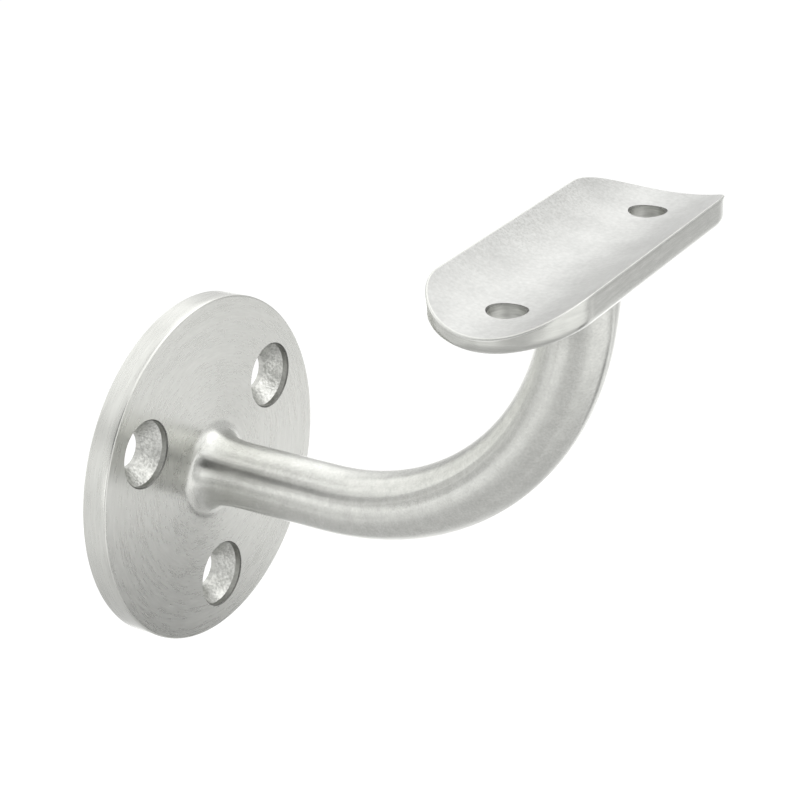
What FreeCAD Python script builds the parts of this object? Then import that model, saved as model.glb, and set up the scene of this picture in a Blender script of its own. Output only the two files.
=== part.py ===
import FreeCAD, Part
import math
import os

# Handrail bracket: one stainless steel casting, millimetres.
# A round flange screws flat to the wall, a round arm leaves its middle, bends upwards
# in a quarter circle, and spreads into a saddle that the handrail lies in.
# +X points out of the wall, +Y runs along the handrail and +Z is up.
# The origin is the centre of the flange's back face, on the wall.

# Whole bracket
projection = 79.1            # wall to the middle of the saddle
rail_rise = 53.6             # flange centre to the lowest line of the seat

# Wall flange
flange_diameter = 64.0
flange_thickness = 4.9
flange_front_bevel = 0.4
flange_back_bevel = 0.3

# Countersunk wall screw holes, one straight below the arm
wall_hole_count = 3
wall_hole_circle = 44.0
wall_hole_diameter = 6.6
wall_sink_diameter = 12.0
wall_sink_land = 1.2         # straight wall above the cone
wall_sink_angle = 90.0       # full angle of the cone
wall_sink_break = 0.2        # broken edge at the mouth

# Arm
arm_diameter = 12.2          # in the bend and the neck
arm_root_diameter = 11.4     # where it meets the flange
arm_root_fillet = 3.5
neck_length = 2.2            # straight rise between the bend and the saddle
neck_flare_along = 13.0      # radius of the spread along the handrail
neck_flare_across = 4.0      # radius of the spread across it
neck_flare_angle = 50.0      # slope at which the spread runs straight on
neck_fillet = 1.8

# Saddle
seat_radius = 21.2           # half of a 42.4 mm handrail tube
saddle_length = 70.0
saddle_width = 26.2
saddle_thickness = 2.8       # along the lowest line of the seat
saddle_belly_radius = 38.0   # underside, flatter than the seat
saddle_lip_bevel = 0.4       # bright bevel round the seat
saddle_belly_round = 1.4     # rounded lower edge
rail_hole_spacing = 48.4
rail_hole_diameter = 6.6

# Ovals that the neck is lofted through
neck_sections = 8            # along the spread
neck_pair_gap = 0.3          # between the two that hold the loft true at the bend

# Worked out from the sizes above
belly_height = rail_rise - saddle_thickness
bend_radius = belly_height - neck_length
bend_start = projection - bend_radius
bend_length = bend_radius * math.pi / 2
neck_end = bend_start + bend_length + neck_length
flare_slope = math.radians(neck_flare_angle)
flare_start = neck_end - neck_flare_along * math.sin(flare_slope)
neck_start = flare_start - neck_length      # the loft takes over from the bend here
arm_sunk = flange_thickness / 2       # how far the arm runs into the flange
neck_sunk = saddle_thickness / 2      # how far it runs into the saddle
overshoot = 1.0                       # cutters stand past the faces they cut
tolerance = 1e-4

X_AXIS = FreeCAD.Vector(1, 0, 0)
Y_AXIS = FreeCAD.Vector(0, 1, 0)
Z_AXIS = FreeCAD.Vector(0, 0, 1)


def make_flange():
    """Round plate on the wall, with its rim edges broken."""
    disc = Part.makeCylinder(flange_diameter / 2, flange_thickness, FreeCAD.Vector(0, 0, 0), X_AXIS)
    rim = [edge for edge in disc.Edges if isinstance(edge.Curve, Part.Circle)]
    back = [edge for edge in rim if edge.CenterOfMass.x < flange_thickness / 2]
    front = [edge for edge in rim if edge.CenterOfMass.x > flange_thickness / 2]
    return disc.makeChamfer(flange_back_bevel, back).makeChamfer(flange_front_bevel, front)


def wall_hole_cutter():
    """Screw hole along +X on the axis: bore, cone, straight land and a broken edge."""
    bore = wall_hole_diameter / 2
    sink = wall_sink_diameter / 2
    land_floor = flange_thickness - wall_sink_land
    cone_floor = land_floor - (sink - bore) / math.tan(math.radians(wall_sink_angle / 2))
    profile = [
        (-overshoot, 0),
        (-overshoot, bore),
        (cone_floor, bore),
        (land_floor, sink),
        (flange_thickness - wall_sink_break, sink),
        (flange_thickness, sink + wall_sink_break),
        (flange_thickness + overshoot, sink + wall_sink_break + overshoot),
        (flange_thickness + overshoot, 0),
        (-overshoot, 0),
    ]
    outline = Part.makePolygon([FreeCAD.Vector(x, 0, r) for x, r in profile])
    return Part.Face(outline).revolve(FreeCAD.Vector(0, 0, 0), X_AXIS, 360)


def wall_hole_cutters():
    """The screw holes, evenly round the circle, the first straight down."""
    cutters = []
    for i in range(wall_hole_count):
        cutter = wall_hole_cutter()
        cutter.translate(FreeCAD.Vector(0, 0, -wall_hole_circle / 2))
        cutter.rotate(FreeCAD.Vector(0, 0, 0), X_AXIS, 360.0 * i / wall_hole_count)
        cutters.append(cutter)
    return cutters


def arm_station(distance):
    """Point and heading of the centre line at this distance along it, in the bend or the neck."""
    turn = min((distance - bend_start) / bend_radius, math.pi / 2)
    rise = max(distance - bend_start - bend_length, 0.0)
    x = bend_start + bend_radius * math.sin(turn)
    z = bend_radius * (1 - math.cos(turn)) + rise
    return FreeCAD.Vector(x, 0, z), turn


def flare(distance, radius):
    """How far the neck has spread: an arc up to the flare's slope, then straight on."""
    arc_end = radius * math.sin(flare_slope)
    into = distance - (neck_end - arc_end)
    if into <= 0:
        return 0.0
    if into <= arc_end:
        return radius - math.sqrt(radius ** 2 - into ** 2)
    return radius * (1 - math.cos(flare_slope)) + (into - arc_end) * math.tan(flare_slope)


def oval(distance):
    """Closed outline of the neck, square to its centre line at this distance."""
    centre, turn = arm_station(distance)
    along = Y_AXIS * (arm_diameter / 2 + flare(distance, neck_flare_along))
    across = FreeCAD.Vector(-math.sin(turn), 0, math.cos(turn))
    across = across * (arm_diameter / 2 + flare(distance, neck_flare_across))
    normal = along.cross(across).normalize()
    place = FreeCAD.Matrix(
        along.x, across.x, normal.x, centre.x,
        along.y, across.y, normal.y, centre.y,
        along.z, across.z, normal.z, centre.z,
        0, 0, 0, 1,
    )
    ring = Part.makeCircle(1.0).toNurbs().transformGeometry(place)
    return Part.Wire(ring.Edges)


def make_straight():
    """The level stretch of the arm, thinner at the flange and easing into the bend."""
    start, middle, end = arm_sunk, (flange_thickness + bend_start) / 2, bend_start
    taper = (arm_diameter - arm_root_diameter) / 2
    depths = [taper * ((end - x) / (end - flange_thickness)) ** 2 for x in (start, middle, end)]
    radii = [arm_diameter / 2 - depth for depth in depths]
    points = [FreeCAD.Vector(x, 0, radius) for x, radius in zip((start, middle, end), radii)]
    side = Part.Arc(*points).toShape()
    foot, top = FreeCAD.Vector(start, 0, 0), FreeCAD.Vector(end, 0, 0)
    outline = Part.Wire([
        Part.LineSegment(foot, points[0]).toShape(),
        side,
        Part.LineSegment(points[2], top).toShape(),
        Part.LineSegment(top, foot).toShape(),
    ])
    return Part.Face(outline).revolve(FreeCAD.Vector(0, 0, 0), X_AXIS, 360)


def make_bend():
    """Quarter turn from level to upright, as far as the neck's loft."""
    turn = math.degrees((neck_start - bend_start) / bend_radius)
    ring = Part.makeCircle(arm_diameter / 2, FreeCAD.Vector(bend_start, 0, 0), X_AXIS)
    pivot = FreeCAD.Vector(bend_start, 0, bend_radius)
    return Part.Face(Part.Wire(ring)).revolve(pivot, -Y_AXIS, turn)


def make_neck():
    """Top of the arm, spreading like a trumpet, more along the handrail than across it."""
    last = neck_end + neck_sunk
    step = (last - flare_start) / (neck_sections - 1)
    distances = [neck_start, neck_start + neck_pair_gap, flare_start - neck_pair_gap]
    distances += [flare_start + step * i for i in range(neck_sections)]
    return Part.makeLoft([oval(distance) for distance in distances], True, False)


def saddle_outline():
    """Straight sides and half-round ends, seen from above."""
    half_width = saddle_width / 2
    end = saddle_length / 2 - half_width
    left, right = projection - half_width, projection + half_width
    places = ((right, -end), (right, end), (left, end), (left, -end))
    corners = [FreeCAD.Vector(x, y, 0) for x, y in places]
    far_tip = FreeCAD.Vector(projection, saddle_length / 2, 0)
    near_tip = FreeCAD.Vector(projection, -saddle_length / 2, 0)
    return Part.Wire([
        Part.LineSegment(corners[0], corners[1]).toShape(),
        Part.Arc(corners[1], far_tip, corners[2]).toShape(),
        Part.LineSegment(corners[2], corners[3]).toShape(),
        Part.Arc(corners[3], near_tip, corners[0]).toShape(),
    ])


def lying_cylinder(radius, lowest):
    """Cylinder along the handrail whose lowest line is at this height."""
    reach = saddle_length / 2 + overshoot
    base = FreeCAD.Vector(projection, -reach, lowest + radius)
    return Part.makeCylinder(radius, 2 * reach, base, Y_AXIS)


def is_round(face, radius):
    """Whether this face is part of a cylinder of this radius."""
    return isinstance(face.Surface, Part.Cylinder) and abs(face.Surface.Radius - radius) < tolerance


def is_front(face):
    """Whether this face is the flat front of the flange."""
    flat = isinstance(face.Surface, Part.Plane) and abs(face.normalAt(0, 0).x) > 1 - tolerance
    return flat and abs(face.CenterOfMass.x - flange_thickness) < tolerance


def is_lofted(face):
    """Whether this face is the freely curved side of the arm."""
    return isinstance(face.Surface, Part.BSplineSurface)


def is_arm_side(face):
    """Whether this face is the side of the arm's level stretch."""
    past_fillet = face.BoundBox.XMax > flange_thickness + arm_root_fillet
    return past_fillet and not isinstance(face.Surface, Part.Plane)


def edges_between(body, first_faces, second_faces):
    """Edges where a face of the first kind meets one of the second."""
    second = [edge for face in body.Faces if second_faces(face) for edge in face.Edges]
    first = [edge for face in body.Faces if first_faces(face) for edge in face.Edges]
    return [edge for edge in first if any(edge.isSame(other) for other in second)]


def make_saddle():
    """Curved plate that the handrail lies in, with its holes and rounded edges."""
    column = Part.Face(saddle_outline()).extrude(Z_AXIS * (belly_height + seat_radius))
    plate = column.common(lying_cylinder(saddle_belly_radius, belly_height))
    plate = plate.cut(lying_cylinder(seat_radius, rail_rise))
    belly = [face for face in plate.Faces if is_round(face, saddle_belly_radius)]
    plate = plate.makeFillet(saddle_belly_round, belly[0].Edges)
    seat = [face for face in plate.Faces if is_round(face, seat_radius)]
    return plate.makeChamfer(saddle_lip_bevel, seat[0].Edges)


def rail_hole_cutters():
    """Plain screw holes through the saddle, on its middle line."""
    height = seat_radius + saddle_thickness
    cutters = []
    for side in (-1, 1):
        base = FreeCAD.Vector(projection, side * rail_hole_spacing / 2, belly_height - overshoot)
        cutters.append(Part.makeCylinder(rail_hole_diameter / 2, height, base, Z_AXIS))
    return cutters


def make_bracket():
    """Flange, arm and saddle as the one solid that the casting is."""
    body = make_flange().cut(wall_hole_cutters())
    body = body.fuse(make_straight())
    body = body.makeFillet(arm_root_fillet, edges_between(body, is_front, is_arm_side))
    body = body.fuse([make_bend(), make_neck(), make_saddle()])
    neck = edges_between(body, lambda face: is_round(face, saddle_belly_radius), is_lofted)
    body = body.makeFillet(neck_fillet, neck)
    return body.cut(rail_hole_cutters())


bracket = make_bracket()
os.makedirs("parts", exist_ok=True)
bracket.exportStep("parts/handrail_bracket.step")
print("valid", bracket.isValid(), "solids", len(bracket.Solids), "volume", bracket.Volume)
print("box", bracket.optimalBoundingBox())
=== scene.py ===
import math
from typing import NamedTuple

import bmesh
import bpy
import numpy as np
from mathutils import Matrix, Vector


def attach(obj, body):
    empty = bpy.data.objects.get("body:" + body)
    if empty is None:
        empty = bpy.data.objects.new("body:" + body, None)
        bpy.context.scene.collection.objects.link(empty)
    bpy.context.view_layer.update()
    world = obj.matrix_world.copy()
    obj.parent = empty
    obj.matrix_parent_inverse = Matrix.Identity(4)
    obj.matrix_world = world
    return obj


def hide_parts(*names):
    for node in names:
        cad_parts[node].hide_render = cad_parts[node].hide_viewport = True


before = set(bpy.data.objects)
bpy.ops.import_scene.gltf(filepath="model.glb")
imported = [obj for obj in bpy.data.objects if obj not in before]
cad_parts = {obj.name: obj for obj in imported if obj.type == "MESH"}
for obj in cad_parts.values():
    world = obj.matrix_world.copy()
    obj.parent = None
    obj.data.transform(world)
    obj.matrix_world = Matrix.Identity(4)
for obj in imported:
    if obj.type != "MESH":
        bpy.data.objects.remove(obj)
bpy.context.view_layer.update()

# A handrail bracket, cast in one piece from stainless steel.
# The casting is built ring by ring from the wall out to the saddle, then its screw holes are cut.
# Its sizes are in millimetres, as on its drawing, and its mesh is in metres.
MM = 0.001

# Sizes of the whole bracket
PROJECTION = 79.1
RAIL_RISE = 53.6

# Wall flange
FLANGE_RADIUS = 32.0
FLANGE_THICKNESS = 4.9
FRONT_EDGE_RADIUS = 0.3
BACK_BEVEL = 0.3

# Countersunk wall screw holes
WALL_HOLES = 3
WALL_HOLE_CIRCLE_RADIUS = 22.0
WALL_BORE_RADIUS = 3.3
SINK_RADIUS = 6.0
SINK_LAND = 1.2
SINK_MOUTH_BREAK = 0.22

# Arm
ARM_RADIUS = 6.0
BEND_SWELL = 0.22            # how much thicker the bend is than the level stretch
ROOT_BLEND_LENGTH = 7.76
ROOT_BLEND_RADIUS = 9.6      # where the blend leaves the flange's face
ROOT_PULL_DOWN = 0.72        # how far the blend follows the flange's face, as a share of its height
ROOT_PULL_ALONG = 0.78       # how far it follows the arm, as a share of its length
GROUND_FROM_RADIUS = 7.6     # inside this the finish is the arm's
NECK_RISE = 2.2
FLARE_ALONG = 13.0
FLARE_ACROSS = 4.0
FLARE_SLOPE = math.radians(50)
NECK_FILLET = 3.0

# Saddle
SEAT_RADIUS = 21.8
SADDLE_LENGTH = 70.6
SADDLE_WIDTH = 26.2
SADDLE_THICKNESS = 2.8
BELLY_RADIUS = 38.0
LIP_BEVEL = 0.4
BELLY_ROUND = 1.8
RAIL_HOLES = 2
RAIL_HOLE_SPACING = 48.4
RAIL_HOLE_RADIUS = 2.95
RAIL_MOUTH_BREAK = 0.1
SADDLE_LEAN = math.radians(1.23)
SADDLE_OFFSET = 0.2          # how much further out it sits than the bend's end
LIP_ROUNDING = 0.1           # how far the lip's curve stays off its sharp corner, as a share of the lip
WORN_UP_TO = PROJECTION - 3.0    # the seat is worn on the wall's side of this

# Worked out from these
BELLY_HEIGHT = RAIL_RISE - SADDLE_THICKNESS
BEND_RADIUS = BELLY_HEIGHT - NECK_RISE
BEND_START = PROJECTION - BEND_RADIUS
BEND_LENGTH = BEND_RADIUS * math.pi / 2
NECK_END = BEND_START + BEND_LENGTH + NECK_RISE
HALF_WIDTH = SADDLE_WIDTH / 2
HALF_STRAIGHT = SADDLE_LENGTH / 2 - HALF_WIDTH

# How finely the mesh is divided
STRAIGHT_STEPS = 40          # along half of a straight side of the saddle
END_STEPS = 80               # round a half-round end
BACK_RING_RADII = (6, 12, 18, 24, 29)
RIM_RINGS = 4
FRONT_EDGE_RINGS = 5
FACE_RINGS = 16
FACE_MARGIN = 1.0            # plain band between the flange's front edge and the face's even rings
FACE_SUPPORT = 0.15          # ring that keeps the face's shading flat up to its edge
ROOT_RINGS = 30
ARM_STEP = 1.0               # along the arm
NECK_RINGS = 4
NECK_FILLET_RINGS = 8
BELLY_RINGS = 12
BELLY_EDGE_RINGS = 7
WALL_RINGS = 5
LIP_RINGS = 6
SEAT_SUPPORT = 0.12          # ring that keeps the seat's shading true up to the lip
SEAT_RINGS = 26
HOLE_SEGMENTS = 96
CUT_PAST = 1.0               # how far a cutter stands past the faces that it cuts
MERGE_DISTANCE = 1e-7        # in metres
SHARP_EDGE = math.radians(28)

# How closely the neck's fillet is found
FILLET_HALVINGS = 40
FILLET_SEARCH_MARGIN = 1.0   # how far above the belly the search begins
SLOPE_STEP = 0.001

# Where one finish's strokes give way to the next
FACE_TOLERANCE = 0.01
RIM_TOLERANCE = 0.2
BELLY_TOLERANCE = 0.1
LEAST_RADIUS = 1e-6          # stands for zero where a radius divides

# Finishes, in the order of the casting's material slots
FINISH_COUNT = 9
# The last finish is painted shade: a near-black line on the holes' broken mouths.
TURNED, GROUND, EDGE, LIP, BLASTED, RAW, DRILLED, LAND, PAINTED_SHADE_LINE = range(FINISH_COUNT)


def saddle_directions():
    """Each column of the mesh: its place on the saddle's middle line and the way out from there."""
    core, way = [], []
    for i in range(STRAIGHT_STEPS):
        core.append(HALF_STRAIGHT * i / STRAIGHT_STEPS)
        way.append(0.0)
    for i in range(END_STEPS):
        core.append(HALF_STRAIGHT)
        way.append(math.pi * i / END_STEPS)
    for i in range(2 * STRAIGHT_STEPS):
        core.append(HALF_STRAIGHT * (1 - i / STRAIGHT_STEPS))
        way.append(math.pi)
    for i in range(END_STEPS):
        core.append(-HALF_STRAIGHT)
        way.append(math.pi * (1 + i / END_STEPS))
    for i in range(STRAIGHT_STEPS):
        core.append(-HALF_STRAIGHT * (1 - i / STRAIGHT_STEPS))
        way.append(0.0)
    way = np.array(way)
    return np.array(core), np.cos(way), np.sin(way)


CORE_Y, OUT_X, OUT_Y = saddle_directions()
RIM_X = HALF_WIDTH * OUT_X
RIM_Y = CORE_Y + HALF_WIDTH * OUT_Y
RIM_REACH = np.hypot(RIM_X, RIM_Y)
RAY_X, RAY_Y = RIM_X / RIM_REACH, RIM_Y / RIM_REACH
COLUMNS = len(CORE_Y)


def level_ring(x, radius):
    """Ring about the flange's axis."""
    return np.stack([np.full(COLUMNS, x), radius * RAY_Y, -radius * RAY_X], 1)


def saddle_ring(dx, dy, z):
    """Ring about the saddle's middle."""
    return np.stack([PROJECTION + dx, dy, z + 0 * dx], 1)


def flare(distance, radius):
    """How far the neck has spread: an arc up to the flare's slope, then straight on."""
    arc_end = radius * math.sin(FLARE_SLOPE)
    into = distance - (NECK_END - arc_end)
    on_arc = np.clip(into, 0, arc_end)
    spread = radius - np.sqrt(radius ** 2 - on_arc ** 2)
    return spread + np.maximum(into - arc_end, 0) * math.tan(FLARE_SLOPE)


def neck_reach(distance):
    """Distance from the centre line to the oval's edge, column by column."""
    swollen = np.clip((distance - BEND_START) / (BEND_LENGTH / 2), 0, 1)
    radius = ARM_RADIUS + BEND_SWELL * swollen ** 2 * (3 - 2 * swollen)
    along = radius + flare(distance, FLARE_ALONG)
    across = radius + flare(distance, FLARE_ACROSS)
    return 1 / np.sqrt((RAY_Y / along) ** 2 + (RAY_X / across) ** 2)


def arm_ring(distance):
    """Ring square to the arm's centre line, in the bend."""
    turn = (distance - BEND_START) / BEND_RADIUS
    reach = neck_reach(distance)
    outward, along = reach * RAY_X, reach * RAY_Y
    x = BEND_START + (BEND_RADIUS + outward) * math.sin(turn)
    z = BEND_RADIUS - (BEND_RADIUS + outward) * math.cos(turn)
    return np.stack([x, along, z], 1)


def lying_height(dx, radius, lowest):
    """Height of a cylinder that lies along the handrail."""
    return lowest + radius - np.sqrt(radius ** 2 - dx ** 2)


def lying_slope(dx, radius):
    """Slope of that cylinder across the handrail."""
    return dx / np.sqrt(radius ** 2 - dx ** 2)


def belly_height(dx):
    return lying_height(dx, BELLY_RADIUS, BELLY_HEIGHT)


def seat_height(dx):
    return lying_height(dx, SEAT_RADIUS, RAIL_RISE)


def even_steps(low, high, steps):
    """Even shares from low to high, both ends included."""
    return [low + (high - low) * i / steps for i in range(steps + 1)]


def curve(start, middle, end, share):
    """Point on the curve from start to end that is pulled towards middle."""
    return start * (1 - share) ** 2 + 2 * middle * share * (1 - share) + end * share ** 2


def root_blend(share):
    """Place along the arm and radius of a point of the root blend. Share 0 is on the flange's face."""
    height = ROOT_BLEND_RADIUS - ARM_RADIUS
    weights = (1 - share) ** 3, 3 * share * (1 - share) ** 2, 3 * share ** 2 * (1 - share), share ** 3
    places = 0, 0, ROOT_BLEND_LENGTH * (1 - ROOT_PULL_ALONG), ROOT_BLEND_LENGTH
    heights = height, height * (1 - ROOT_PULL_DOWN), 0, 0
    x = FLANGE_THICKNESS + sum(weight * place for weight, place in zip(weights, places))
    return x, ARM_RADIUS + sum(weight * above for weight, above in zip(weights, heights))


def flange_rings():
    """Back face, rim, front face and root blend, up to the arm's side."""
    rings = []
    back_edge = FLANGE_RADIUS - BACK_BEVEL
    for radius in (*BACK_RING_RADII, back_edge):
        rings.append((level_ring(0.0, radius), TURNED))
    rings.append((level_ring(BACK_BEVEL, FLANGE_RADIUS), TURNED))
    front_corner = FLANGE_THICKNESS - FRONT_EDGE_RADIUS
    for x in even_steps(BACK_BEVEL, front_corner, RIM_RINGS)[1:]:
        rings.append((level_ring(x, FLANGE_RADIUS), TURNED))
    for angle in even_steps(0, math.pi / 2, FRONT_EDGE_RINGS)[1:]:
        x = front_corner + FRONT_EDGE_RADIUS * math.sin(angle)
        radius = FLANGE_RADIUS - FRONT_EDGE_RADIUS * (1 - math.cos(angle))
        rings.append((level_ring(x, radius), TURNED))
    face_edge = FLANGE_RADIUS - FRONT_EDGE_RADIUS
    face_radii = even_steps(face_edge - FACE_MARGIN, ROOT_BLEND_RADIUS, FACE_RINGS)
    for radius in [face_edge - FACE_SUPPORT] + face_radii:
        rings.append((level_ring(FLANGE_THICKNESS, radius), TURNED))
    for share in even_steps(0, 1, ROOT_RINGS)[1:]:
        x, radius = root_blend(share)
        rings.append((level_ring(x, radius), TURNED if radius > GROUND_FROM_RADIUS else GROUND))
    return rings


def arm_rings():
    """The level stretch and the bend."""
    rings = []
    start, _ = root_blend(1)
    steps = round((BEND_START - start) / ARM_STEP)
    for x in even_steps(start, BEND_START, steps)[1:]:
        rings.append((level_ring(x, ARM_RADIUS), GROUND))
    steps = round(BEND_LENGTH / ARM_STEP)
    for distance in even_steps(BEND_START, BEND_START + BEND_LENGTH, steps)[1:]:
        rings.append((arm_ring(distance), GROUND))
    return rings


def neck_rings():
    """The last of the rise, its fillet and the belly, up to where the belly's edge is rounded."""
    def reach_at(z):
        return neck_reach(BEND_START + BEND_LENGTH + z - BEND_RADIUS)

    def fillet_at(z):
        """Centre of a ball that touches the neck at this height, and the neck's slope there."""
        slope = (reach_at(z + SLOPE_STEP) - reach_at(z - SLOPE_STEP)) / (2 * SLOPE_STEP)
        size = np.sqrt(1 + slope ** 2)
        return reach_at(z) + NECK_FILLET / size, z - NECK_FILLET * slope / size, slope

    low = np.full(COLUMNS, BEND_RADIUS)
    high = np.full(COLUMNS, BELLY_HEIGHT + FILLET_SEARCH_MARGIN)
    for _ in range(FILLET_HALVINGS):
        middle = (low + high) / 2
        reach, z, _ = fillet_at(middle)
        across = reach * RAY_X
        tilt = lying_slope(across, BELLY_RADIUS) * RAY_X
        room = (belly_height(across) - z) / np.sqrt(1 + tilt ** 2)
        low = np.where(room > NECK_FILLET, middle, low)
        high = np.where(room > NECK_FILLET, high, middle)
    touch = (low + high) / 2
    rings = []
    for share in even_steps(0, 1, NECK_RINGS)[1:-1]:
        z = BEND_RADIUS + (touch - BEND_RADIUS) * share
        reach = reach_at(z)
        rings.append((saddle_ring(reach * RAY_X, reach * RAY_Y, z), GROUND))
    centre_reach, centre_z, slope = fillet_at(touch)
    tilt = lying_slope(centre_reach * RAY_X, BELLY_RADIUS) * RAY_X
    first = np.arctan2(slope, -1.0)
    last = np.arctan2(1.0, -tilt)
    for share in even_steps(0, 1, NECK_FILLET_RINGS):
        angle = first + (last - first) * share
        reach = centre_reach + NECK_FILLET * np.cos(angle)
        z = centre_z + NECK_FILLET * np.sin(angle)
        rings.append((saddle_ring(reach * RAY_X, reach * RAY_Y, z), GROUND))
    inner_x, inner_y = reach * RAY_X, reach * RAY_Y
    outer_x, outer_y = edge_start()
    for share in even_steps(0, 1, BELLY_RINGS)[1:-1]:
        dx = inner_x + (outer_x - inner_x) * share
        dy = inner_y + (outer_y - inner_y) * share
        rings.append((saddle_ring(dx, dy, belly_height(dx)), GROUND))
    return rings


def edge_round():
    """Rounding between belly and wall: its centre's reach and height, and the belly's tilt there."""
    reach = HALF_WIDTH - BELLY_ROUND
    tilt = lying_slope(reach * OUT_X, BELLY_RADIUS) * OUT_X
    return reach, belly_height(reach * OUT_X) + BELLY_ROUND * np.sqrt(1 + tilt ** 2), tilt


def edge_start():
    """Where the belly ends and its rounded edge begins."""
    reach, _, tilt = edge_round()
    reach = reach + BELLY_ROUND * tilt / np.sqrt(1 + tilt ** 2)
    return reach * OUT_X, CORE_Y + reach * OUT_Y


def saddle_rings():
    """Rounded lower edge, wall, lip and seat."""
    rings = []
    centre_reach, centre_z, tilt = edge_round()
    first = np.arctan2(-1.0, tilt)
    for share in even_steps(0, 1, BELLY_EDGE_RINGS):
        angle = first * (1 - share)
        reach = centre_reach + BELLY_ROUND * np.cos(angle)
        z = centre_z + BELLY_ROUND * np.sin(angle)
        rings.append((saddle_ring(reach * OUT_X, CORE_Y + reach * OUT_Y, z), EDGE))
    corner = seat_height(HALF_WIDTH * OUT_X)
    wall_top = corner - LIP_BEVEL
    for share in even_steps(0, 1, WALL_RINGS)[1:]:
        z = centre_z + (wall_top - centre_z) * share
        rings.append((saddle_ring(RIM_X, RIM_Y, z), EDGE))
    slope = lying_slope(HALF_WIDTH * OUT_X, SEAT_RADIUS) * OUT_X
    lip_reach = HALF_WIDTH - LIP_BEVEL / np.sqrt(1 + slope ** 2)
    lip_height = seat_height(lip_reach * OUT_X)
    for share in even_steps(0, 1, LIP_RINGS)[1:]:
        pulled_reach = HALF_WIDTH - LIP_ROUNDING * (HALF_WIDTH - lip_reach)
        reach = curve(HALF_WIDTH, pulled_reach, lip_reach, share)
        z = curve(wall_top, corner - LIP_ROUNDING * LIP_BEVEL, lip_height, share)
        rings.append((saddle_ring(reach * OUT_X, CORE_Y + reach * OUT_Y, z), LIP))
    for share in [SEAT_SUPPORT / HALF_WIDTH] + even_steps(0, 1, SEAT_RINGS)[1:]:
        reach = lip_reach * (1 - share)
        dx = reach * OUT_X
        rings.append((saddle_ring(dx, CORE_Y + reach * OUT_Y, seat_height(dx)), BLASTED))
    return rings


def mesh_object(name, points, faces, finishes):
    """Mesh in metres from points in millimetres, with a finish for each face."""
    mesh = bpy.data.meshes.new(name)
    mesh.from_pydata((np.asarray(points) * MM).tolist(), [], faces)
    for _ in range(FINISH_COUNT):
        mesh.materials.append(None)
    mesh.polygons.foreach_set("material_index", finishes)
    obj = bpy.data.objects.new(name, mesh)
    bpy.context.scene.collection.objects.link(obj)
    return obj


def closed_rings(name, start, rings):
    """Skin over a pole and the rings that follow it. The last ring folds up on its own middle line."""
    points = np.vstack([[start]] + [ring for ring, _ in rings])
    faces, finishes = [], []
    for column in range(COLUMNS):
        faces.append((0, 1 + (column + 1) % COLUMNS, 1 + column))
        finishes.append(rings[0][1])
    for row in range(1, len(rings)):
        below, above = 1 + (row - 1) * COLUMNS, 1 + row * COLUMNS
        for column in range(COLUMNS):
            after = (column + 1) % COLUMNS
            faces.append((below + column, below + after, above + after, above + column))
            finishes.append(rings[row][1])
    obj = mesh_object(name, points, faces, finishes)
    bm = bmesh.new()
    bm.from_mesh(obj.data)
    bmesh.ops.remove_doubles(bm, verts=bm.verts, dist=MERGE_DISTANCE)
    bmesh.ops.recalc_face_normals(bm, faces=bm.faces)
    bm.to_mesh(obj.data)
    bm.free()
    return obj


def turned_cutter(name, profile, finishes):
    """Solid of revolution that cuts a hole. The profile gives height and radius."""
    points, faces, marks = [], [], []
    for height, radius in profile:
        for i in range(HOLE_SEGMENTS):
            angle = 2 * math.pi * i / HOLE_SEGMENTS
            points.append((radius * math.cos(angle), radius * math.sin(angle), height))
    for row, finish in enumerate(finishes):
        for i in range(HOLE_SEGMENTS):
            after = (i + 1) % HOLE_SEGMENTS
            low, high = row * HOLE_SEGMENTS, (row + 1) * HOLE_SEGMENTS
            faces.append((low + i, low + after, high + after, high + i))
            marks.append(finish)
    last = (len(profile) - 1) * HOLE_SEGMENTS
    faces.append(tuple(range(HOLE_SEGMENTS))[::-1])
    faces.append(tuple(last + i for i in range(HOLE_SEGMENTS)))
    marks += [DRILLED, DRILLED]
    obj = mesh_object(name, points, faces, marks)
    obj.data.attributes.new("finish", "INT", "FACE").data.foreach_set("value", marks)
    return obj


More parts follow.
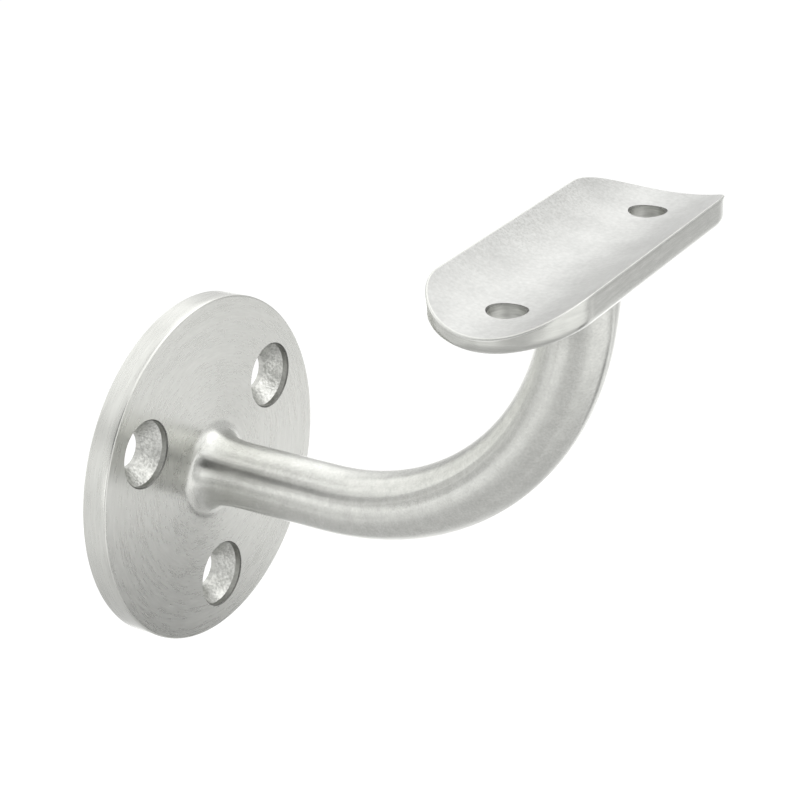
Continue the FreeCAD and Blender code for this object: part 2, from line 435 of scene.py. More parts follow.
def holes_in_a_ring_tree():
    """Geometry Nodes tree that sets copies of one hole's cutter evenly round a circle."""
    tree = bpy.data.node_groups.new("holes_in_a_ring", "GeometryNodeTree")
    inputs = {"Hole": "NodeSocketGeometry", "Holes": "NodeSocketInt", "Circle Radius": "NodeSocketFloat"}
    for finish in ("Bore Finish", "Cone Finish", "Land Finish", "Mouth Painted Shade"):
        inputs[finish] = "NodeSocketMaterial"
    for socket, kind in inputs.items():
        tree.interface.new_socket(socket, in_out="INPUT", socket_type=kind)
    tree.interface.new_socket("Cutters", in_out="OUTPUT", socket_type="NodeSocketGeometry")
    nodes = Nodes(tree)
    given, result = nodes.add("NodeGroupInput"), nodes.add("NodeGroupOutput")
    index = nodes.add("GeometryNodeInputIndex")
    share = nodes.add("ShaderNodeMath", {0: index.outputs[0], 1: given.outputs["Holes"]}, operation="DIVIDE")
    angle = nodes.add("ShaderNodeMath", {0: share.outputs[0], 1: 2 * math.pi}, operation="MULTIPLY")
    along = nodes.add("ShaderNodeMath", {0: angle.outputs[0]}, operation="COSINE")
    across = nodes.add("ShaderNodeMath", {0: angle.outputs[0]}, operation="SINE")
    way = nodes.add("ShaderNodeCombineXYZ", {"X": along.outputs[0], "Y": across.outputs[0]})
    place = nodes.add("ShaderNodeVectorMath", {0: way.outputs[0], "Scale": given.outputs["Circle Radius"]},
                      operation="SCALE")
    points = nodes.add("GeometryNodePoints", {"Count": given.outputs["Holes"], "Position": place.outputs[0]})
    copies = nodes.add("GeometryNodeInstanceOnPoints", {
        "Points": points.outputs[0],
        "Instance": given.outputs["Hole"],
    })
    real = nodes.add("GeometryNodeRealizeInstances", {"Geometry": copies.outputs[0]})
    mark = nodes.add("GeometryNodeInputNamedAttribute", {"Name": "finish"}, data_type="INT")
    last = nodes.add("GeometryNodeSetMaterial", {
        "Geometry": real.outputs[0],
        "Material": given.outputs["Bore Finish"],
    })
    # The mouths get the painted shade line, a near-black finish.
    for number, finish in ((RAW, "Cone Finish"), (LAND, "Land Finish"), (PAINTED_SHADE_LINE, "Mouth Painted Shade")):
        chosen = nodes.add("FunctionNodeCompare", data_type="INT", operation="EQUAL")
        nodes.tree.links.new(mark.outputs["Attribute"], chosen.inputs["A"])
        chosen.inputs["B"].default_value = number
        last = nodes.add("GeometryNodeSetMaterial", {
            "Geometry": last.outputs[0],
            "Selection": chosen.outputs[0],
            "Material": given.outputs[finish],
        })
    nodes.tree.links.new(last.outputs[0], result.inputs["Cutters"])
    return tree


def holes_in_a_ring(tree, cutter, values, place):
    """The cutter's copies as one plain mesh, moved from their own ring to their place on the bracket."""
    modifier = cutter.modifiers.new("holes", "NODES")
    modifier.node_group = tree
    for socket in tree.interface.items_tree:
        if socket.in_out == "INPUT" and socket.name in values:
            modifier[socket.identifier] = values[socket.name]
    bpy.context.view_layer.update()
    graph = bpy.context.evaluated_depsgraph_get()
    mesh = bpy.data.meshes.new_from_object(cutter.evaluated_get(graph))
    cutter.modifiers.clear()
    cutter.data = mesh
    mesh.transform(place)
    return cutter


def wall_hole_cutters(tree, finishes):
    """Countersunk screw holes, the first straight down. Their broken mouths carry painted shade, a near-black
    line.
    """
    land_floor = FLANGE_THICKNESS - SINK_LAND
    cone_floor = land_floor - (SINK_RADIUS - WALL_BORE_RADIUS)
    mouth = FLANGE_THICKNESS - SINK_MOUTH_BREAK
    profile = [
        (-CUT_PAST, WALL_BORE_RADIUS),
        (cone_floor, WALL_BORE_RADIUS),
        (land_floor, SINK_RADIUS),
        (mouth, SINK_RADIUS),
        (FLANGE_THICKNESS + CUT_PAST, SINK_RADIUS + SINK_MOUTH_BREAK + CUT_PAST),
    ]
    cutter = turned_cutter("wall_holes", profile, [DRILLED, RAW, LAND, PAINTED_SHADE_LINE])
    down_first = Matrix(((0, 0, 1, 0), (0, 1, 0, 0), (-1, 0, 0, 0), (0, 0, 0, 1)))
    values = {"Holes": WALL_HOLES, "Circle Radius": WALL_HOLE_CIRCLE_RADIUS * MM, **finishes}
    return holes_in_a_ring(tree, cutter, values, down_first)


def rail_hole_cutters(tree, finishes):
    """Plain screw holes through the saddle, with their upper edges just broken and painted near-black as a
    shade line.
    """
    mouth = RAIL_RISE - RAIL_MOUTH_BREAK
    profile = [
        (BELLY_HEIGHT - CUT_PAST, RAIL_HOLE_RADIUS),
        (mouth, RAIL_HOLE_RADIUS),
        (mouth + CUT_PAST, RAIL_HOLE_RADIUS + CUT_PAST),
    ]
    cutter = turned_cutter("rail_holes", profile, [DRILLED, PAINTED_SHADE_LINE])
    along_rail = Matrix.Translation((PROJECTION * MM, 0, 0)) @ Matrix.Rotation(math.pi / 2, 4, "Z")
    values = {"Holes": RAIL_HOLES, "Circle Radius": RAIL_HOLE_SPACING / 2 * MM, **finishes}
    return holes_in_a_ring(tree, cutter, values, along_rail)


def cut(obj, cutters):
    """Takes every cutter out of the object and leaves it a plain mesh."""
    for cutter in cutters:
        modifier = obj.modifiers.new("hole", "BOOLEAN")
        modifier.operation = "DIFFERENCE"
        modifier.solver = "EXACT"
        modifier.material_mode = "TRANSFER"
        modifier.object = cutter
    bpy.context.view_layer.update()
    graph = bpy.context.evaluated_depsgraph_get()
    mesh = bpy.data.meshes.new_from_object(obj.evaluated_get(graph))
    obj.modifiers.clear()
    obj.data = mesh
    for cutter in cutters:
        bpy.data.objects.remove(cutter)


def brush_marks(mesh):
    """Stores how the finish runs: where each point lies on its strokes, and how they scatter light."""
    count = len(mesh.vertices)
    points = np.zeros(count * 3)
    mesh.vertices.foreach_get("co", points)
    x, y, z = points.reshape(-1, 3).T / MM
    radius = np.maximum(np.hypot(y, z), LEAST_RADIUS)
    stroke = np.zeros((count, 3))
    spread = np.zeros((count, 3))
    on_flange = x < FLANGE_THICKNESS + FACE_TOLERANCE
    level = x < BEND_START
    from_rim = x - radius + ARM_RADIUS
    stroke[level] = np.stack([from_rim, ARM_RADIUS * y / radius, ARM_RADIUS * z / radius], 1)[level]
    spread[on_flange] = np.stack([0 * x, -y / radius, -z / radius], 1)[on_flange]
    outermost = radius > FLANGE_RADIUS - RIM_TOLERANCE
    on_rim = on_flange & outermost & (x < FLANGE_THICKNESS - RIM_TOLERANCE)
    spread[on_rim] = (1, 0, 0)
    turn = np.where(x > BEND_START, np.arctan2(x - BEND_START, BEND_RADIUS - z), 0.0)
    turn = np.where(z > BEND_RADIUS, math.pi / 2, turn)
    travelled = np.where(x > BEND_START, BEND_START + turn * BEND_RADIUS, x)
    travelled = np.where(z > BEND_RADIUS, BEND_START + BEND_LENGTH + z - BEND_RADIUS, travelled)
    centre_x = np.where(x > BEND_START, BEND_START + BEND_RADIUS * np.sin(turn), x)
    centre_z = np.where(x > BEND_START, BEND_RADIUS * (1 - np.cos(turn)), 0.0)
    centre_z = np.where(z > BEND_RADIUS, z, centre_z)
    across = (z - centre_z) * np.cos(turn) - (x - centre_x) * np.sin(turn)
    reach = np.maximum(np.hypot(y, across), LEAST_RADIUS)
    on_arm = ~on_flange & (z < BELLY_HEIGHT - BELLY_TOLERANCE)
    on_bend = on_arm & ~level
    stroke[on_bend] = np.stack([travelled, ARM_RADIUS * y / reach, ARM_RADIUS * across / reach], 1)[on_bend]
    spread[on_arm] = np.stack([np.cos(turn), 0 * turn, np.sin(turn)], 1)[on_arm]
    on_saddle = ~on_flange & ~on_arm
    stroke[on_saddle] = np.stack([x, y, z], 1)[on_saddle]
    spread[on_saddle] = (0, 0, 1)
    for name, values in (("stroke", stroke * MM), ("spread", spread)):
        attribute = mesh.attributes.new(name, "FLOAT_VECTOR", "POINT")
        attribute.data.foreach_set("vector", values.ravel())


def leaned(ring):
    """The saddle sits a little further out than the bend and tips towards the wall."""
    x, y, z = ring.T
    share = np.clip((z - BEND_RADIUS) / NECK_RISE, 0, 1)
    tip = SADDLE_LEAN * share
    across, above = x - PROJECTION, z - RAIL_RISE
    leaned_x = across * np.cos(tip) - above * np.sin(tip) + SADDLE_OFFSET * share
    leaned_z = across * np.sin(tip) + above * np.cos(tip)
    return np.stack([PROJECTION + leaned_x, y, RAIL_RISE + leaned_z], 1)


def make_casting(steels):
    """The bracket as one closed skin with its holes cut."""
    rings = flange_rings() + arm_rings() + neck_rings()
    rings = [(leaned(ring), finish) for ring, finish in rings + saddle_rings()]
    casting = closed_rings("bracket_casting", (0.0, 0.0, 0.0), rings)
    for slot, material in enumerate(steels):
        casting.data.materials[slot] = material
    # The mouth's finish is painted shade, a near-black line.
    finishes = {"Bore Finish": steels[DRILLED], "Cone Finish": steels[RAW], "Land Finish": steels[LAND],
                "Mouth Painted Shade": steels[PAINTED_SHADE_LINE]}
    tree = holes_in_a_ring_tree()
    cut(casting, [wall_hole_cutters(tree, finishes), rail_hole_cutters(tree, finishes)])
    mesh = casting.data
    mesh.polygons.foreach_set("use_smooth", [True] * len(mesh.polygons))
    mesh.set_sharp_from_angle(angle=SHARP_EDGE)
    brush_marks(mesh)
    return casting


class Nodes:
    """Short way to add and link nodes."""

    def __init__(self, tree):
        self.tree = tree

    def add(self, kind, inputs=None, **settings):
        node = self.tree.nodes.new(kind)
        for name, value in settings.items():
            setattr(node, name, value)
        for name, value in (inputs or {}).items():
            socket = node.inputs[name]
            if isinstance(value, bpy.types.NodeSocket):
                self.tree.links.new(value, socket)
            else:
                socket.default_value = value
        return node


def group_of(name, inputs, outputs):
    """Empty shader node group with named sockets."""
    tree = bpy.data.node_groups.new(name, "ShaderNodeTree")
    for socket, kind, default in inputs:
        made = tree.interface.new_socket(socket, in_out="INPUT", socket_type=kind)
        if default is not None:
            made.default_value = default
    for socket, kind in outputs:
        tree.interface.new_socket(socket, in_out="OUTPUT", socket_type=kind)
    nodes = Nodes(tree)
    return tree, nodes, nodes.add("NodeGroupInput"), nodes.add("NodeGroupOutput")


# How much of a finish's tone comes from its wide clouds, and how wide they are beside its grain
HAZE_SHARE = 0.4
CLOUD_SHARE = 0.45
CLOUD_SCALE = 0.12


def brushed_group():
    """Fine strokes of a belt or a lathe tool: a tone and a height."""
    tree, nodes, given, result = group_of(
        "brush_strokes",
        [("Place", "NodeSocketVector", None), ("Stroke", "NodeSocketVector", (1, 1, 1)),
         ("Haze", "NodeSocketVector", (1, 1, 1))],
        [("Tone", "NodeSocketFloat"), ("Height", "NodeSocketFloat")],
    )
    fine_place = nodes.add("ShaderNodeVectorMath", {0: given.outputs["Place"], 1: given.outputs["Stroke"]},
                           operation="MULTIPLY")
    haze_place = nodes.add("ShaderNodeVectorMath", {0: given.outputs["Place"], 1: given.outputs["Haze"]},
                           operation="MULTIPLY")
    fine = nodes.add("ShaderNodeTexNoise", {"Vector": fine_place.outputs[0], "Scale": 1.0, "Detail": 2.0,
                                            "Roughness": 0.5})
    haze = nodes.add("ShaderNodeTexNoise", {"Vector": haze_place.outputs[0], "Scale": 1.0, "Detail": 2.0})
    tone = nodes.add("ShaderNodeMix", {0: HAZE_SHARE, 2: fine.outputs[0], 3: haze.outputs[0]},
                     data_type="FLOAT")
    nodes.tree.links.new(tone.outputs[0], result.inputs["Tone"])
    nodes.tree.links.new(fine.outputs[0], result.inputs["Height"])
    return tree


def blasted_group():
    """Grain of a bead-blasted or as-cast skin: a tone and a height."""
    tree, nodes, given, result = group_of(
        "blasted_grain",
        [("Place", "NodeSocketVector", None), ("Grain Size", "NodeSocketFloat", 0.0003)],
        [("Tone", "NodeSocketFloat"), ("Height", "NodeSocketFloat")],
    )
    scale = nodes.add("ShaderNodeMath", {0: 1.0, 1: given.outputs["Grain Size"]}, operation="DIVIDE")
    wide = nodes.add("ShaderNodeMath", {0: scale.outputs[0], 1: CLOUD_SCALE}, operation="MULTIPLY")
    grain = nodes.add("ShaderNodeTexNoise", {"Vector": given.outputs["Place"], "Scale": scale.outputs[0],
                                             "Detail": 2.0, "Roughness": 0.55})
    cloud = nodes.add("ShaderNodeTexNoise", {"Vector": given.outputs["Place"], "Scale": wide.outputs[0],
                                             "Detail": 3.0})
    tone = nodes.add("ShaderNodeMix", {0: CLOUD_SHARE, 2: grain.outputs[0], 3: cloud.outputs[0]},
                     data_type="FLOAT")
    nodes.tree.links.new(tone.outputs[0], result.inputs["Tone"])
    nodes.tree.links.new(grain.outputs[0], result.inputs["Height"])
    return tree


# The stretch of a pattern's tone that carries a steel from its dark to its light colour
TONE_LOW, TONE_HIGH = 0.3, 0.7


def steel(name, group, values, dark, light, rough, bump, anisotropic=0.0, place="Object"):
    """Stainless steel whose tone, roughness and height come from one of the groups."""
    material = bpy.data.materials.new(name)
    material.use_nodes = True
    nodes = Nodes(material.node_tree)
    shader = material.node_tree.nodes["Principled BSDF"]
    shader.inputs["Metallic"].default_value = 1.0
    shader.inputs["Anisotropic"].default_value = anisotropic
    if place == "Object":
        where = nodes.add("ShaderNodeTexCoord").outputs["Object"]
    else:
        where = nodes.add("ShaderNodeAttribute", attribute_name=place).outputs["Vector"]
    pattern = nodes.add("ShaderNodeGroup", node_tree=group)
    nodes.tree.links.new(where, pattern.inputs["Place"])
    for socket, value in values.items():
        pattern.inputs[socket].default_value = value
    colour = nodes.add("ShaderNodeValToRGB", {"Fac": pattern.outputs["Tone"]})
    ends = colour.color_ramp.elements
    ends[0].position, ends[1].position = TONE_LOW, TONE_HIGH
    ends[0].color, ends[1].color = (*dark, 1), (*light, 1)
    smoothest, roughest = rough
    roughness = nodes.add("ShaderNodeMapRange", {
        "Value": pattern.outputs["Tone"],
        "From Min": TONE_LOW, "From Max": TONE_HIGH,
        "To Min": smoothest, "To Max": roughest,
    })
    height = nodes.add("ShaderNodeBump", {"Height": pattern.outputs["Height"], "Strength": 1.0,
                                          "Distance": bump})
    nodes.tree.links.new(colour.outputs["Color"], shader.inputs["Base Color"])
    nodes.tree.links.new(roughness.outputs["Result"], shader.inputs["Roughness"])
    nodes.tree.links.new(height.outputs["Normal"], shader.inputs["Normal"])
    if anisotropic:
        spread = nodes.add("ShaderNodeAttribute", attribute_name="spread")
        nodes.tree.links.new(spread.outputs["Vector"], shader.inputs["Tangent"])
    return material


def speckle_group():
    """Small dark spots of a skin that the polishing has only half taken away: 1 on a spot, 0 between."""
    tree, nodes, given, result = group_of(
        "dark_speckle",
        [("Place", "NodeSocketVector", None), ("Spot Size", "NodeSocketFloat", 0.0005)],
        [("Mask", "NodeSocketFloat")],
    )
    scale = nodes.add("ShaderNodeMath", {0: 1.0, 1: given.outputs["Spot Size"]}, operation="DIVIDE")
    spots = nodes.add("ShaderNodeTexNoise", {"Vector": given.outputs["Place"], "Scale": scale.outputs[0],
                                             "Detail": 3.0, "Roughness": 0.7})
    mask = nodes.add("ShaderNodeMapRange", {"Value": spots.outputs[0], "From Min": 0.46, "From Max": 0.66})
    nodes.tree.links.new(mask.outputs["Result"], result.inputs["Mask"])
    return tree


SPECKLE_COLOUR = (0.33, 0.33, 0.315)
SPECKLE_SIZE = 0.0004
NEAR_END_SPECKLE = 0.35      # how strong the speckle still is at the seat's near end


def add_worn_side(material, speckle):
    """Speckles the seat along the side over the wall, most towards its far end."""
    nodes = Nodes(material.node_tree)
    shader = material.node_tree.nodes["Principled BSDF"]
    plain = shader.inputs["Base Color"].links[0].from_socket
    where = nodes.add("ShaderNodeTexCoord").outputs["Object"]
    split = nodes.add("ShaderNodeSeparateXYZ", {"Vector": where})
    wall_side = nodes.add("ShaderNodeMapRange", {"Value": split.outputs["X"], "From Min": WORN_UP_TO * MM,
                                                 "From Max": (PROJECTION - HALF_WIDTH) * MM})
    far_side = nodes.add("ShaderNodeMapRange", {"Value": split.outputs["Y"], "From Min": -HALF_STRAIGHT * MM,
                                                "From Max": 0.0, "To Min": NEAR_END_SPECKLE})
    spots = nodes.add("ShaderNodeGroup", node_tree=speckle)
    nodes.tree.links.new(where, spots.inputs["Place"])
    spots.inputs["Spot Size"].default_value = SPECKLE_SIZE
    side = nodes.add("ShaderNodeMath", {0: wall_side.outputs["Result"], 1: far_side.outputs["Result"]},
                     operation="MULTIPLY")
    amount = nodes.add("ShaderNodeMath", {0: side.outputs[0], 1: spots.outputs["Mask"]}, operation="MULTIPLY")
    mix = nodes.add("ShaderNodeMix", {0: amount.outputs[0], 6: plain, 7: (*SPECKLE_COLOUR, 1)},
                    data_type="RGBA")
    nodes.tree.links.new(mix.outputs[2], shader.inputs["Base Color"])


def make_steels():
    """The casting's finishes, in the order of its material slots."""
    strokes, grain = brushed_group(), blasted_group()
    turned = steel("steel_turned", strokes, {"Stroke": (2600, 1200, 1200), "Haze": (500, 300, 300)},
                   dark=(0.51, 0.513, 0.488), light=(0.605, 0.608, 0.58),
                   rough=(0.26, 0.30), bump=3e-7, anisotropic=0.5, place="stroke")
    ground = steel("steel_ground", strokes, {"Stroke": (3500, 2200, 2200), "Haze": (500, 400, 400)},
                   dark=(0.495, 0.498, 0.474), light=(0.625, 0.628, 0.60),
                   rough=(0.235, 0.265), bump=4e-7, anisotropic=1.0, place="stroke")
    edge = steel("steel_edge", strokes, {"Stroke": (200, 200, 3000), "Haze": (400, 400, 900)},
                 dark=(0.445, 0.448, 0.425), light=(0.535, 0.539, 0.512),
                 rough=(0.22, 0.26), bump=7e-7, anisotropic=0.9)
    lip = steel("steel_lip", grain, {"Grain Size": 0.0005},
                dark=(0.46, 0.463, 0.442), light=(0.54, 0.544, 0.52), rough=(0.36, 0.44), bump=1e-5)
    blasted = steel("steel_blasted", grain, {"Grain Size": 0.0007},
                    dark=(0.39, 0.391, 0.381), light=(0.515, 0.517, 0.504), rough=(0.42, 0.50), bump=1.5e-5)
    add_worn_side(blasted, speckle_group())
    raw = steel("steel_raw", grain, {"Grain Size": 0.0005},
                dark=(0.29, 0.292, 0.276), light=(0.77, 0.774, 0.742), rough=(0.30, 0.45), bump=1.3e-4)
    drilled = steel("steel_drilled", strokes, {"Stroke": (300, 300, 3000), "Haze": (300, 300, 300)},
                    dark=(0.34, 0.342, 0.325), light=(0.62, 0.624, 0.594), rough=(0.40, 0.50), bump=2e-6)
    land = steel("steel_land", grain, {"Grain Size": 0.0005},
                 dark=(0.26, 0.262, 0.246), light=(0.46, 0.463, 0.44), rough=(0.35, 0.45), bump=2e-5)
    # Painted shade: near-black steel on the holes' broken mouths, standing in for the shadow line there.
    painted_shade_line = steel("steel_painted_shade_line", grain, {"Grain Size": 0.0004},
                 dark=(0.08, 0.081, 0.075), light=(0.20, 0.201, 0.19), rough=(0.40, 0.55), bump=2e-5)
    return turned, ground, edge, lip, blasted, raw, drilled, land, painted_shade_line


# Camera, as the photograph was taken
EYE = Vector((0.21859, -0.27965, 0.17309))
VIEW_AZIMUTH = math.radians(31.81)
VIEW_ELEVATION = math.radians(24.26)
VIEW_ROLL = math.radians(-1.81)
LENS = 96.29
SENSOR = 36.0
SHIFT = (0.00065, -0.0176)


def make_camera():
    data = bpy.data.cameras.new("camera")
    data.lens, data.sensor_width = LENS, SENSOR
    data.shift_x, data.shift_y = SHIFT
    data.clip_start = 0.01
    camera = bpy.data.objects.new("camera", data)
    back = Vector((math.sin(VIEW_AZIMUTH) * math.cos(VIEW_ELEVATION),
                   -math.cos(VIEW_AZIMUTH) * math.cos(VIEW_ELEVATION),
                   math.sin(VIEW_ELEVATION)))
    right = Vector((math.cos(VIEW_AZIMUTH), math.sin(VIEW_AZIMUTH), 0))
    up = back.cross(right)
    level = Matrix((right, up, back)).transposed()
    turned = level @ Matrix.Rotation(VIEW_ROLL, 3, "Z")
    camera.matrix_world = Matrix.Translation(EYE) @ turned.to_4x4()
    bpy.context.scene.collection.objects.link(camera)
    bpy.context.scene.camera = camera


# Strength of the world for scattered light, where white is 1
SCATTERED_STRENGTH = 0.5


def grey(level):
    """Colour without a hue."""
    return level, level, level, 1


def seen_directly(nodes):
    """1 for a ray from the camera, a mirror or glass, and 0 for scattered light."""
    path = nodes.add("ShaderNodeLightPath")
    either = nodes.add("ShaderNodeMath", {0: path.outputs["Is Camera Ray"], 1: path.outputs["Is Glossy Ray"]},
                       operation="MAXIMUM")
    return nodes.add("ShaderNodeMath", {0: either.outputs[0], 1: path.outputs["Is Transmission Ray"]},
                     operation="MAXIMUM").outputs[0]


def make_world():
    world = bpy.data.worlds.new("studio")
    world.use_nodes = True
    bpy.context.scene.world = world
    nodes = Nodes(world.node_tree)
    background = world.node_tree.nodes["Background"]
    strength = nodes.add("ShaderNodeMapRange", {"Value": seen_directly(nodes), "To Min": SCATTERED_STRENGTH,
                                                "To Max": 1.0})
    nodes.tree.links.new(strength.outputs["Result"], background.inputs["Strength"])
    background.inputs["Color"].default_value = grey(1)


# Floor, whose glow brings what the camera sees of it up to white and leaves room for a shadow
FLOOR_HEIGHT = -1.92
FLOOR_REACH = 8.0
FLOOR_COLOUR = grey(0.8)
SHADOW_COLOUR = grey(0.3)
FLOOR_GLOW = 0.9


def make_floor():
    """Pale floor, well below the bracket and below the card that stands for the table."""
    mesh = bpy.data.meshes.new("floor")
    sides = ((-1, -1), (1, -1), (1, 1), (-1, 1))
    corners = [(FLOOR_REACH * x, FLOOR_REACH * y, FLOOR_HEIGHT) for x, y in sides]
    mesh.from_pydata(corners, [], [(0, 1, 2, 3)])
    floor = bpy.data.objects.new("floor", mesh)
    bpy.context.scene.collection.objects.link(floor)
    material = bpy.data.materials.new("floor")
    material.use_nodes = True
    nodes = Nodes(material.node_tree)
    material.node_tree.nodes.remove(material.node_tree.nodes["Principled BSDF"])
    matt = nodes.add("ShaderNodeBsdfDiffuse", {"Color": FLOOR_COLOUR})
    veil = nodes.add("ShaderNodeBsdfDiffuse", {"Color": SHADOW_COLOUR})
    glow = nodes.add("ShaderNodeEmission", {"Color": grey(1), "Strength": FLOOR_GLOW})
    white = nodes.add("ShaderNodeAddShader")
    nodes.tree.links.new(veil.outputs[0], white.inputs[0])
    nodes.tree.links.new(glow.outputs[0], white.inputs[1])
    mix = nodes.add("ShaderNodeMixShader", {0: seen_directly(nodes), 1: matt.outputs[0], 2: white.outputs[0]})
    output = material.node_tree.nodes["Material Output"]
    nodes.tree.links.new(mix.outputs[0], output.inputs["Surface"])
    mesh.materials.append(material)


# What the lamp and the cards face, and how near to upright a direction counts as upright
MIDDLE = Vector((0.045, 0.0, 0.015))
UPRIGHT = 0.999


def towards(azimuth, elevation):
    """Unit vector out from the bracket. Azimuth 0 is the near side, 90 is away from the wall."""
    a, e = math.radians(azimuth), math.radians(elevation)
    return Vector((math.sin(a) * math.cos(e), -math.cos(a) * math.cos(e), math.sin(e)))


def facing(azimuth, elevation, turn, distance):
    """Place of a flat thing that faces the bracket from a direction, turned in its own plane."""
    a = math.radians(azimuth)
    out = towards(azimuth, elevation)
    right = Vector((math.cos(a), math.sin(a), 0))
    up = out.cross(right)
    up = up if up.z > 0 or abs(out.z) > UPRIGHT else -up
    place = Matrix((right, up, right.cross(up))).transposed()
    turned = place @ Matrix.Rotation(math.radians(turn), 3, "Z")
    return Matrix.Translation(MIDDLE + out * distance) @ turned.to_4x4()


# The soft oval on a card's UV square: full inside the core, nothing past the edge
OVAL_CORE = 0.26
OVAL_EDGE = 0.5
CARD_SKIRT = 1.25            # how far a card's soft edge goes past its nominal size


def soft_oval_group():
    """1 in the middle of a card's UV square, falling softly to 0 before its edge."""
    tree, nodes, given, result = group_of("soft_oval", [("Place", "NodeSocketVector", None)],
                                          [("Mask", "NodeSocketFloat")])
    centred = nodes.add("ShaderNodeVectorMath", {0: given.outputs["Place"], 1: (0.5, 0.5, 0)},
                        operation="SUBTRACT")
    reach = nodes.add("ShaderNodeVectorMath", {0: centred.outputs[0]}, operation="LENGTH")
    mask = nodes.add("ShaderNodeMapRange", {"Value": reach.outputs["Value"], "From Min": OVAL_EDGE,
                                            "From Max": OVAL_CORE}, interpolation_type="SMOOTHSTEP")
    nodes.tree.links.new(mask.outputs["Result"], result.inputs["Mask"])
    return tree


class Card(NamedTuple):
    """Reflector or flag. Its direction, turn and half sizes are in degrees, and its level is 1 for white."""

    name: str
    azimuth: float
    elevation: float
    half_width: float
    half_height: float
    level: float
    turn: float


def make_card(oval, card, distance):
    """Soft-edged card that only the steel mirrors."""
    w = distance * math.tan(math.radians(card.half_width)) * CARD_SKIRT
    h = distance * math.tan(math.radians(card.half_height)) * CARD_SKIRT
    mesh = bpy.data.meshes.new(card.name)
    mesh.from_pydata([(-w, -h, 0), (w, -h, 0), (w, h, 0), (-w, h, 0)], [], [(0, 1, 2, 3)])
    corners = mesh.uv_layers.new(name="card").data
    for corner, place in zip(corners, ((0, 0), (1, 0), (1, 1), (0, 1))):
        corner.uv = place
    mesh.transform(facing(card.azimuth, card.elevation, card.turn, distance))
    obj = bpy.data.objects.new(card.name, mesh)
    material = bpy.data.materials.new(card.name)
    material.use_nodes = True
    nodes = Nodes(material.node_tree)
    material.node_tree.nodes.remove(material.node_tree.nodes["Principled BSDF"])
    where = nodes.add("ShaderNodeTexCoord")
    mask = nodes.add("ShaderNodeGroup", node_tree=oval)
    nodes.tree.links.new(where.outputs["UV"], mask.inputs["Place"])
    glow = nodes.add("ShaderNodeEmission", {"Color": grey(1), "Strength": card.level})
    clear = nodes.add("ShaderNodeBsdfTransparent")
    mix = nodes.add("ShaderNodeMixShader", {0: mask.outputs["Mask"], 1: clear.outputs[0], 2: glow.outputs[0]})
    nodes.tree.links.new(mix.outputs[0], material.node_tree.nodes["Material Output"].inputs["Surface"])
    mesh.materials.append(material)
    obj.visible_camera = False
    obj.visible_diffuse = False
    obj.visible_shadow = False
    bpy.context.scene.collection.objects.link(obj)


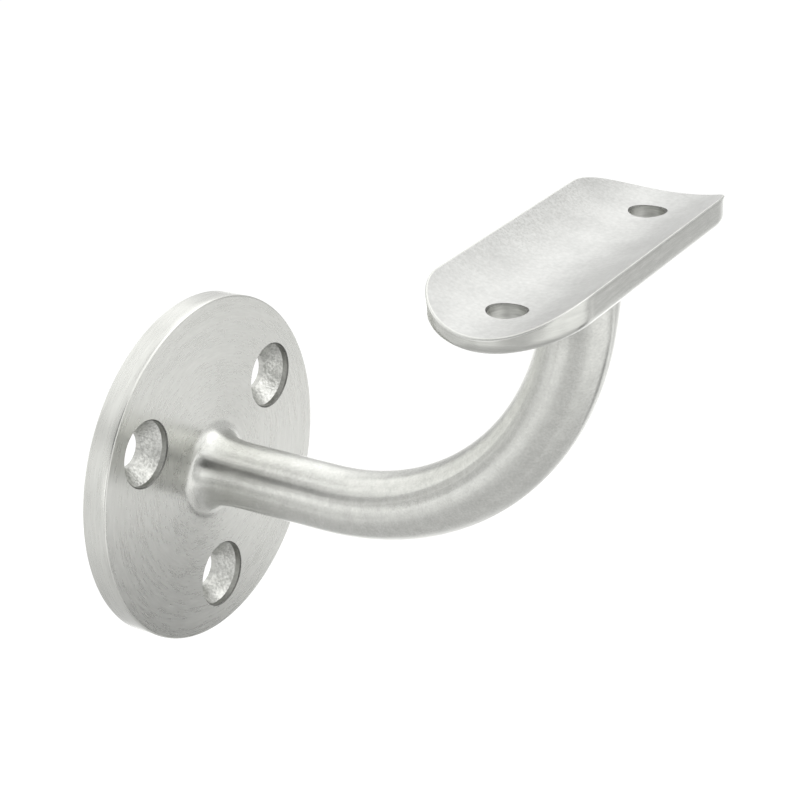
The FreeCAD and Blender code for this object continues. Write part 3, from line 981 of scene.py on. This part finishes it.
# Cards round the bracket, the furthest first. A fit to the real steel's tones gave their values.
CARDS = (
    Card("table", azimuth=0, elevation=-90, turn=0,
         half_width=63.5, half_height=54.6, level=0.78),
    Card("near_wall", azimuth=-61.3, elevation=5.9, turn=58,
         half_width=61.1, half_height=44.3, level=1.09),
    Card("near_flag", azimuth=6.3, elevation=35.9, turn=-2,
         half_width=32.7, half_height=13.3, level=0.02),
    Card("left_box", azimuth=-83.4, elevation=23.9, turn=44,
         half_width=25.6, half_height=33.8, level=2.09),
    Card("left_flag", azimuth=-44.9, elevation=-1.5, turn=37,
         half_width=30.9, half_height=8, level=0.81),
    Card("near_glow", azimuth=-6.2, elevation=1.6, turn=13,
         half_width=16.1, half_height=16.4, level=2.4),
    Card("right_flag", azimuth=60.3, elevation=14.1, turn=2,
         half_width=6.3, half_height=17.3, level=0.13),
    Card("right_box", azimuth=95.5, elevation=-8.6, turn=6,
         half_width=48.8, half_height=38.8, level=1.54),
    Card("back_box", azimuth=132.8, elevation=60.4, turn=5,
         half_width=66, half_height=42.8, level=2.14),
    Card("top_left_glow", azimuth=-28.8, elevation=65.6, turn=17,
         half_width=8.8, half_height=9.3, level=2.38),
    Card("far_top_flag", azimuth=109.7, elevation=68.5, turn=-4,
         half_width=42.7, half_height=13.9, level=1.56),
    Card("left_back_flag", azimuth=-124.1, elevation=0.8, turn=46,
         half_width=28.6, half_height=16.8, level=0.57),
    Card("right_back_flag", azimuth=157.3, elevation=7.2, turn=-44,
         half_width=22.2, half_height=37.6, level=0.78),
    Card("low_flag", azimuth=145.3, elevation=-35.5, turn=-6,
         half_width=14.5, half_height=7.4, level=0.03),
    Card("low_right_flag", azimuth=44.9, elevation=-10.8, turn=12,
         half_width=29.3, half_height=9.1, level=0.74),
    Card("low_glow", azimuth=157.8, elevation=-35.8, turn=41,
         half_width=5.5, half_height=23.5, level=1.37),
    Card("far_low_glow", azimuth=-148.7, elevation=-28.3, turn=2,
         half_width=36.4, half_height=20.7, level=2.04),
    Card("small_glow", azimuth=-33.1, elevation=7.8, turn=21,
         half_width=5.1, half_height=17.6, level=1.6),
    Card("low_back_glow", azimuth=-149.2, elevation=-57.3, turn=-19,
         half_width=13.5, half_height=10.9, level=1.48),
    Card("small_flag", azimuth=-5.7, elevation=-9.1, turn=-2,
         half_width=10.3, half_height=8.1, level=1.54),
    Card("root_flag", azimuth=84.1, elevation=-44.4, turn=5,
         half_width=35.9, half_height=11.7, level=0.97),
    Card("under_flag", azimuth=100.1, elevation=-61.2, turn=12,
         half_width=22.6, half_height=8.1, level=0.58),
    Card("side_flag", azimuth=35.3, elevation=41.3, turn=-10,
         half_width=16.3, half_height=12.8, level=0.31),
    Card("top_glow", azimuth=129.4, elevation=53.4, turn=5,
         half_width=14.3, half_height=21.8, level=2.4),
)
TABLE_DISTANCE = 1.9
FURTHEST, NEAREST = 1.25, 0.75

# Room light
LAMP_AZIMUTH = -60
LAMP_ELEVATION = 55
LAMP_DISTANCE = 1.2
LAMP_SIZE = 0.8
LAMP_POWER = 20


def make_lights():
    oval = soft_oval_group()
    for i, card in enumerate(CARDS):
        distance = FURTHEST - (FURTHEST - NEAREST) * i / (len(CARDS) - 1)
        if card.name == "table":
            distance = TABLE_DISTANCE
        make_card(oval, card, distance)
    data = bpy.data.lights.new("room_light", "AREA")
    data.shape, data.size, data.energy = "DISK", LAMP_SIZE, LAMP_POWER
    lamp = bpy.data.objects.new("room_light", data)
    lamp.matrix_world = facing(LAMP_AZIMUTH, LAMP_ELEVATION, 0, LAMP_DISTANCE)
    lamp.visible_glossy = False
    bpy.context.scene.collection.objects.link(lamp)


casting = make_casting(make_steels())
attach(casting, "root")
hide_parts("handrail_bracket")

make_camera()
make_world()
make_floor()
make_lights()
bpy.context.scene.view_settings.view_transform = "Standard"
